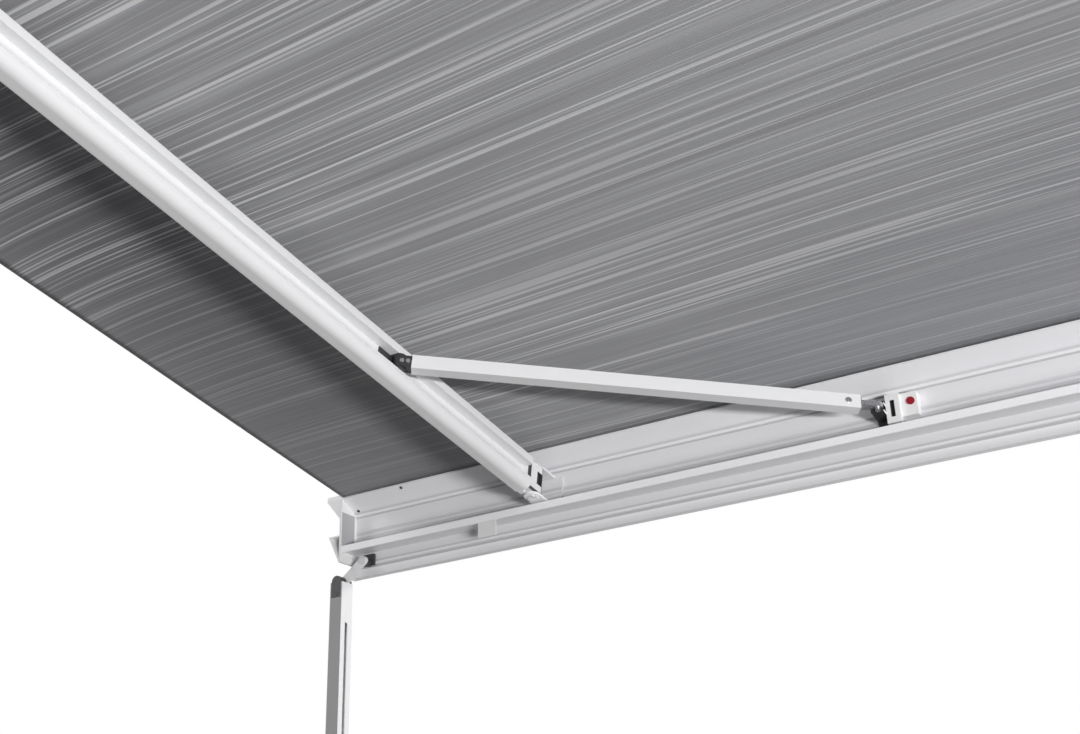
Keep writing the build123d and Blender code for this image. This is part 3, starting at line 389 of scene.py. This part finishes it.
def rafter_end_look():
    """White plastic with painted shade: the pocket beside the hinge is painted black as shadow."""
    s = Shader("rafter_end_white", WHITE_PLASTIC, 0.42)
    away, _, level = s.rail_place()
    # Painted shade in the pocket beside the hinge
    pocket = s.times(s.near(away, *POCKET_AWAY), s.ramp(level, *POCKET_LEVEL))
    s.paint(s.mix(pocket, s.mottled(neutral(0.78), neutral(0.84)), POCKET_SHADE))
    s.grain()
    return s


def pivot_end_look():
    """Dark plastic whose raised rivets are bright metal."""
    s = Shader("pivot_end_dark", DARK_PLASTIC, 0.42)
    x, y, z = s.parts(s.node("ShaderNodeTexCoord").outputs["Object"])
    start, _, across = brace_line(1)
    beyond = s.times(s.math("ABSOLUTE", x), across.x)
    for value, share in ((y, across.y), (z, across.z)):
        beyond = s.math("ADD", beyond, s.times(value, share))
    face = start.dot(across) + BRACE_HALF
    rivets = s.ramp(beyond, face + 0.0001, face + 0.0002)
    s.paint(s.mix(rivets, s.mottled(*DARK_TONES), (0.85, 0.85, 0.86)))
    s.link(rivets, s.bsdf.inputs["Metallic"])
    s.link(s.ramp(rivets, 0.0, 1.0, 0.42, 0.22), s.bsdf.inputs["Roughness"])
    s.grain()
    return s


# The cloth's threads: changes in a metre across the width and along the cloth, detail, turn,
# and the noise that is turned into a tone from the first to the last of a range
THREADS = {
    "strong": ((1.0, 215.0, 0.0, 0.0), (0.63, 0.69, 0.0, 1.0)),
    "second": ((1.4, 300.0, 0.0, 0.002), (0.63, 0.71, 0.0, 0.85)),
    "weak": ((1.8, 400.0, 0.0, 0.0), (0.56, 0.76, 0.0, 0.45)),
    "soft": ((1.5, 62.0, 0.0, 0.0), (0.57, 0.77, 0.0, 0.24)),
    "hair": ((6.0, 640.0, 1.0, 0.0), (0.45, 0.75, 0.0, 0.12)),
    "dips": ((1.6, 110.0, 0.0, 0.004), (0.26, 0.40, 0.35, 0.0)),
    "density": ((0.7, 4.0, 1.0, 0.0), (0.36, 0.60, 0.45, 1.0)),
    "cloud": ((0.9, 1.6, 3.0, 0.0), (0.3, 0.7, 0.0, 1.0)),
}
# What is left of each kind of thread outside a rafter
STRIP_THREADS, STRIP_SOFT, STRIP_HAIR = 0.62, 0.15, 0.4
STRIP_START, STRIP_FULL = RAFTER_X + 0.01, RAFTER_X + 0.13
HEM_START, HEM_FULL = CANOPY_HALF - 0.0035, CANOPY_HALF - 0.0015
WEAVE_SCALE = 150.0
DIM_GROUND, BRIGHT_GROUND = (0.290, 0.292, 0.302), (0.330, 0.332, 0.343)
RAIL_GROUND = (0.262, 0.274, 0.306)
DIP_GROUND = (0.21, 0.21, 0.22)
# Painted shadow of a rafter on the cloth's underside outside it
RAFTER_SHADOW_GROUND = (0.075, 0.069, 0.083)
# The light threads' tone, and the hem's edge painted lighter in place of light it does not get
THREAD_TONE, HEM_LIT_TONE = (0.68, 0.68, 0.69), (0.50, 0.50, 0.51)


def cloth_look():
    """Grey woven cloth with long light threads that run across the awning's width."""
    s = Shader("canopy_cloth", (0.42, 0.42, 0.43), 0.75)
    x, u, _ = s.parts(s.node("ShaderNodeTexCoord").outputs["UV"])

    def thread(name):
        """One row of the threads' table."""
        (across, along, detail, turn), tones = THREADS[name]
        stretched = s.place((across, along, 1.0), "UV", (0, 0, turn))
        return s.ramp(s.noise(stretched, 1.0, detail), *tones)

    def less_in_strip(value, share):
        """A value that falls to a share of itself outside a rafter."""
        return s.times(value, s.ramp(strip, 0.0, 1.0, 1.0, share))

    away = s.math("ABSOLUTE", x)
    far = s.math("ADD", s.times(away, 0.35), u)
    strip = s.ramp(away, STRIP_START, STRIP_FULL)
    calm = s.ramp(s.math("SUBTRACT", far, s.times(strip, 0.38)), 0.25, 0.80, 0.22, 1.0)

    threads = s.math("MAXIMUM", thread("strong"), thread("second"))
    threads = s.math("MAXIMUM", threads, thread("weak"))
    threads = less_in_strip(s.times(threads, thread("density")), STRIP_THREADS)
    threads = s.math("MAXIMUM", threads, less_in_strip(thread("soft"), STRIP_SOFT))
    threads = s.math("ADD", s.times(threads, calm), less_in_strip(thread("hair"), STRIP_HAIR))

    ground = s.mix(thread("cloud"), DIM_GROUND, BRIGHT_GROUND)
    ground = s.mix(s.ramp(far, 0.10, 0.70, 0.75, 0.0), ground, RAIL_GROUND)
    ground = s.mix(s.times(thread("dips"), calm), ground, DIP_GROUND)

    # Painted shadow of the rafter on the underside of the strip outside it, least at the hem and
    # by the rail
    painted_rafter_shadow = s.times(strip, s.ramp(away, CANOPY_HALF - 0.14, CANOPY_HALF, 0.78, 0.45),
                     s.ramp(u, 0.0, 0.7, 0.5, 1.0), s.underside())
    ground = s.mix(painted_rafter_shadow, ground, RAFTER_SHADOW_GROUND)
    # Painted light: the cloth's edge at the hem is painted lighter, for light it does not get
    hem = s.ramp(away, HEM_START, HEM_FULL, 0.0, 0.8)
    s.paint(s.mix(hem, s.mix(threads, ground, THREAD_TONE), HEM_LIT_TONE))

    weave = []
    for axis in "XY":
        wave = s.node("ShaderNodeTexWave", wave_type="BANDS", bands_direction=axis)
        wave.inputs["Scale"].default_value = WEAVE_SCALE
        s.link(s.place(EVEN, "UV"), wave.inputs["Vector"])
        weave.append(wave.outputs["Fac"])
    s.bump(s.times(*weave), 0.25, 0.0004)
    return s


painted_white = coated("painted_white", WHITE, 0.38, PAINT_GRAIN)
moulded_white = coated("moulded_white", WHITE_PLASTIC, 0.45, PLASTIC_GRAIN, change=0.02)
moulded_dark = coated("moulded_dark", DARK_PLASTIC, 0.42, PLASTIC_GRAIN, change=0.15)
moulded_grey = coated("moulded_grey", (0.16, 0.16, 0.17), 0.45, PLASTIC_GRAIN, change=0.1)
bare_steel = drawn("bare_steel", (0.60, 0.60, 0.61), 0.28, "x")
aluminium_x = drawn("aluminium_along_x", ALUMINIUM, 0.34, "x")
cloth = cloth_look()

LOOKS = {
    "wall_brackets": aluminium_x,
    "bracket_screws": bare_steel,
    "cassette_housing": coated("case_white", WHITE, 0.36, 1.0, LINES_ALONG_X),
    "cassette_end_cap": moulded_white,
    "cassette_screws": bare_steel,
    "roller_bush": moulded_grey,
    "gear_housing": moulded_grey,
    "gear_cover": moulded_grey,
    "worm_shaft": bare_steel,
    "crank_eye": bare_steel,
    "worm_wheel": moulded_dark,
    "roller_tube": aluminium_x,
    "roller_plug": moulded_grey,
    "fabric_roll": cloth,
    "keder_rod": moulded_white,
    "lead_rail": rail_look("rail_white"),
    "rail_end_cap": cap_look(),
    "leg_clips": moulded_white,
    "leg_brackets": leg_bracket_look(),
    "rafter_hinge_bracket": rail_look("hinge_white", 1.0),
    "rafter_hinge_pin": drawn("rivet_steel", (0.80, 0.80, 0.81), 0.22, "z"),
    "rafter_profile": painted_white,
    "rafter_knuckle": rafter_end_look(),
    "rafter_inner_tube": drawn("aluminium_along_y", ALUMINIUM, 0.34, "y"),
    "rafter_wall_foot": moulded_dark,
    "brace_pivot_block": moulded_dark,
    "brace_tube": painted_white,
    "brace_pivot_end": pivot_end_look(),
    "brace_hook_end": bare_steel,
    "brace_slider": slider_look(),
    "release_button": coated("moulded_red", (0.34, 0.006, 0.020), 0.25, 600.0, change=0.08),
    "leg_arm": coated("arm_pale", (0.72, 0.72, 0.73), 0.35, PLASTIC_GRAIN),
    "leg_knuckle": coated("knuckle_dark", (0.055, 0.055, 0.058), 0.35, 260.0,
                          change=0.3, depth=0.3),
    "leg_outer_tube": leg_look(),
    "leg_lever": moulded_dark,
    "leg_inner_tube": drawn("aluminium_along_z", ALUMINIUM, 0.34, "z"),
    "leg_foot": moulded_dark,
}


def dress(obj, look):
    """Give every face of an object one material."""
    if not obj.material_slots:
        obj.data.materials.append(look.mat)
    for slot in obj.material_slots:
        slot.material = look.mat


for name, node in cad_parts.items():
    for key, look in LOOKS.items():
        if name in (key, f"{key}_right", f"{key}_left"):
            dress(node, look)


# Meshes
def new_object(name, bm, look):
    """Turn a bmesh into an object with one material."""
    mesh = bpy.data.meshes.new(name)
    bmesh.ops.recalc_face_normals(bm, faces=bm.faces)
    bm.to_mesh(mesh)
    bm.free()
    made = bpy.data.objects.new(name, mesh)
    bpy.context.scene.collection.objects.link(made)
    mesh.materials.append(look.mat)
    return made


# The canopy's billow in metres: steep beside the hem, and again from inside a rafter
HEM_RISE, HEM_RUN = 0.015, 0.075
MIDDLE_RISE, MIDDLE_START, MIDDLE_RUN = 0.033, 0.26, 0.85
RIPPLE = 0.0025
FULLNESS = 0.6


def clamp(value):
    """A value kept between zero and one."""
    return max(0.0, min(1.0, value))


def billow(x, u):
    """How far the canopy stands above the flat plane of its hems and ends."""
    inward = CANOPY_HALF - abs(x)
    hem = 1 - math.exp(-inward / HEM_RUN)
    share = clamp((inward - MIDDLE_START) / MIDDLE_RUN)
    middle = share * share * (3 - 2 * share)
    ripple = RIPPLE * math.sin(5.2 * x + 1.3) * math.sin(4.1 * u + 0.7 * x)
    lengthwise = math.sin(math.pi * clamp(u / CANOPY_LENGTH)) ** FULLNESS
    return (MIDDLE_RISE * middle + (HEM_RISE + ripple) * hem) * lengthwise


def canopy_mesh():
    """One continuous sheet with two faces; its UV is the cloth's own width and length."""
    columns, rows = 170, 90
    crowding = 1.25
    bm = bmesh.new()
    uv = bm.loops.layers.uv.new("cloth")
    layers = []
    for lift in (CANOPY_LIFT, CANOPY_LIFT + CANOPY_THICKNESS):
        grid = []
        for i in range(columns + 1):
            t = -1 + 2 * i / columns
            x = CANOPY_HALF * math.sin(crowding * t) / math.sin(crowding)
            line = []
            for j in range(rows + 1):
                u = -CANOPY_TUCK + (CANOPY_LENGTH + CANOPY_TUCK) * j / rows
                line.append((bm.verts.new(slope_point(x, u, lift + billow(x, u))), (x, u)))
            grid.append(line)
        layers.append(grid)

    def face(corners):
        made = bm.faces.new([c[0] for c in corners])
        made.smooth = True
        for loop, corner in zip(made.loops, corners):
            loop[uv].uv = corner[1]

    low, high = layers
    for i in range(columns):
        for j in range(rows):
            face((low[i][j], low[i][j + 1], low[i + 1][j + 1], low[i + 1][j]))
            face((high[i][j], high[i + 1][j], high[i + 1][j + 1], high[i][j + 1]))
    for j in range(rows):
        face((low[0][j], high[0][j], high[0][j + 1], low[0][j + 1]))
        face((low[-1][j], low[-1][j + 1], high[-1][j + 1], high[-1][j]))
    for i in range(columns):
        face((low[i][0], low[i + 1][0], high[i + 1][0], high[i][0]))
        face((low[i][-1], high[i][-1], high[i + 1][-1], low[i + 1][-1]))
    return new_object("canopy_sheet", bm, cloth)


canopy = canopy_mesh()
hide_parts("canopy")
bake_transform(canopy)

# A head's outline: shares of its radius and of its height, up to the point in the middle
HEAD_RINGS = ((1.0, 0.0), (1.0, 0.47), (0.82, 0.84), (0.5, 0.97))
HEAD_SIDES = 20


def screw(name, place, normal, radius, height, body, look):
    """A small rounded head that stands on a surface."""
    bm = bmesh.new()
    rings = []
    for across, up in HEAD_RINGS:
        angles = [2 * math.pi * k / HEAD_SIDES for k in range(HEAD_SIDES)]
        rings.append([bm.verts.new((across * radius * math.cos(a), across * radius * math.sin(a),
                                    up * height)) for a in angles])
    tip = bm.verts.new((0, 0, height))
    bm.faces.new(list(reversed(rings[0])))
    for k in range(HEAD_SIDES):
        n = (k + 1) % HEAD_SIDES
        for a, b in zip(rings, rings[1:]):
            bm.faces.new((a[k], a[n], b[n], b[k]))
        bm.faces.new((rings[-1][k], rings[-1][n], tip))
    made = new_object(name, bm, look)
    turn = normal.normalized().to_track_quat("Z", "Y").to_matrix().to_4x4()
    made.data.transform(Matrix.Translation(place) @ turn)
    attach(made, body)


# The rail's screws: distance in from the rail's end, depth and level; all in metres
RAIL_SCREWS = (("rail_screw_high", 0.1018, 0.0041, 0.00224),
               ("rail_screw_low", 0.0106, 0.0244, 0.01357))
RAIL_SCREW_RADIUS, RAIL_SCREW_HEIGHT = 0.0022, 0.0016
BRACE_SCREW_RADIUS, BRACE_SCREW_HEIGHT = 0.0038, 0.0008
BRACE_SCREW_INSET = 0.0350
BAND_NORMAL = Vector((0, 0.0170, -0.0305))

for side, m in (("right", 1), ("left", -1)):
    for name, inset, depth, level in RAIL_SCREWS:
        screw(f"{name}_{side}", rail_point(m * (CANOPY_HALF - inset), depth, level), BAND_NORMAL,
              RAIL_SCREW_RADIUS, RAIL_SCREW_HEIGHT, "lead_bar", moulded_dark)
    start, end, across = brace_line(m)
    back = (start - end).normalized() * BRACE_SCREW_INSET
    screw(f"brace_screw_{side}", end + back + across * BRACE_HALF, across,
          BRACE_SCREW_RADIUS, BRACE_SCREW_HEIGHT, f"brace_{side}", bare_steel)


# Stage
FLOOR_HALF, FLOOR_Y, FLOOR_DROP = 6.0, -1.2, 0.0005
FLOOR_BOUNCE = 0.25
WORLD_LIGHT = 0.07
# Each lamp's name, place, target, width and height, and power in watts
LAMPS = (
    ("key", (-1.9, 0.5, -1.8), (1.2, -1.6, 2.9), (1.4, 0.3), 208),
    ("overhead", (0.0, -1.2, 7.0), (0.0, -1.2, 0.0), (6.0, 4.0), 340),
    ("front", (-3.0, -7.0, 3.0), (0.5, -2.3, -0.8), (3.0, 2.0), 150),
    ("side", (6.0, 1.8, 3.0), (1.9, -1.0, -0.3), (2.0, 2.0), 80),
)
# The photograph's viewpoint and the camera's own axes there
CAMERA_LENS, CAMERA_SENSOR = 46.5, 36.0
CAMERA_PLACE = Vector((0.743, -0.83070, -1.00467))
CAMERA_RIGHT = Vector((-0.8462, -0.5322, -0.0258))
CAMERA_UP = Vector((-0.2330, 0.3259, 0.9162))
CAMERA_FORWARD = Vector((0.4792, -0.7813, 0.3998))


def straight_rays(tree):
    """One for rays that show a surface to the camera, directly or in metal or glass."""
    path = tree.nodes.new("ShaderNodeLightPath")
    found = path.outputs["Is Camera Ray"]
    for kind in ("Is Glossy Ray", "Is Transmission Ray"):
        either = tree.nodes.new("ShaderNodeMath")
        either.operation = "MAXIMUM"
        tree.links.new(found, either.inputs[0])
        tree.links.new(path.outputs[kind], either.inputs[1])
        found = either.outputs["Value"]
    return found


def floor_piece():
    """A pale floor that throws back less light than it shows."""
    bm = bmesh.new()
    bmesh.ops.create_grid(bm, x_segments=1, y_segments=1, size=FLOOR_HALF)
    s = Shader("floor_pale", neutral(0.80), 0.85)
    pale = s.mix(s.noise(s.place(EVEN), 3.0, 2.0), neutral(0.79), neutral(0.81))
    s.paint(s.mix(straight_rays(s.tree), neutral(FLOOR_BOUNCE), pale))
    made = new_object("floor", bm, s)
    made.location = (0, FLOOR_Y, GROUND_Z - FLOOR_DROP)
    return made


def white_world():
    """White where the camera sees it, and faint as a light."""
    world = bpy.data.worlds.new("studio")
    bpy.context.scene.world = world
    world.use_nodes = True
    tree = world.node_tree
    background = tree.nodes["Background"]
    background.inputs["Color"].default_value = (1, 1, 1, 1)
    strength = tree.nodes.new("ShaderNodeMapRange")
    strength.inputs["To Min"].default_value = WORLD_LIGHT
    strength.inputs["To Max"].default_value = 1.0
    tree.links.new(straight_rays(tree), strength.inputs["Value"])
    tree.links.new(strength.outputs["Result"], background.inputs["Strength"])


def area_light(name, place, target, size, power):
    """A soft rectangular lamp that the camera doesn't see."""
    lamp = bpy.data.lights.new(name, "AREA")
    lamp.shape = "RECTANGLE"
    lamp.size, lamp.size_y = size
    lamp.energy = power
    made = bpy.data.objects.new(name, lamp)
    made.location = place
    aim = Vector(target) - Vector(place)
    made.rotation_euler = aim.to_track_quat("-Z", "Y").to_euler()
    made.visible_camera = False
    bpy.context.scene.collection.objects.link(made)


def photo_camera():
    """A camera below the canopy and between the rafters, where the photograph was taken."""
    data = bpy.data.cameras.new("camera")
    data.lens = CAMERA_LENS
    data.sensor_width = CAMERA_SENSOR
    data.clip_start = 0.01
    data.clip_end = 100.0
    camera = bpy.data.objects.new("camera", data)
    turn = Matrix((CAMERA_RIGHT, CAMERA_UP, -CAMERA_FORWARD)).transposed().to_4x4()
    camera.matrix_world = Matrix.Translation(CAMERA_PLACE) @ turn
    bpy.context.scene.collection.objects.link(camera)
    return camera


floor = floor_piece()
white_world()
for lamp in LAMPS:
    area_light(*lamp)
bpy.context.scene.camera = photo_camera()
bpy.context.scene.view_settings.view_transform = "Standard"
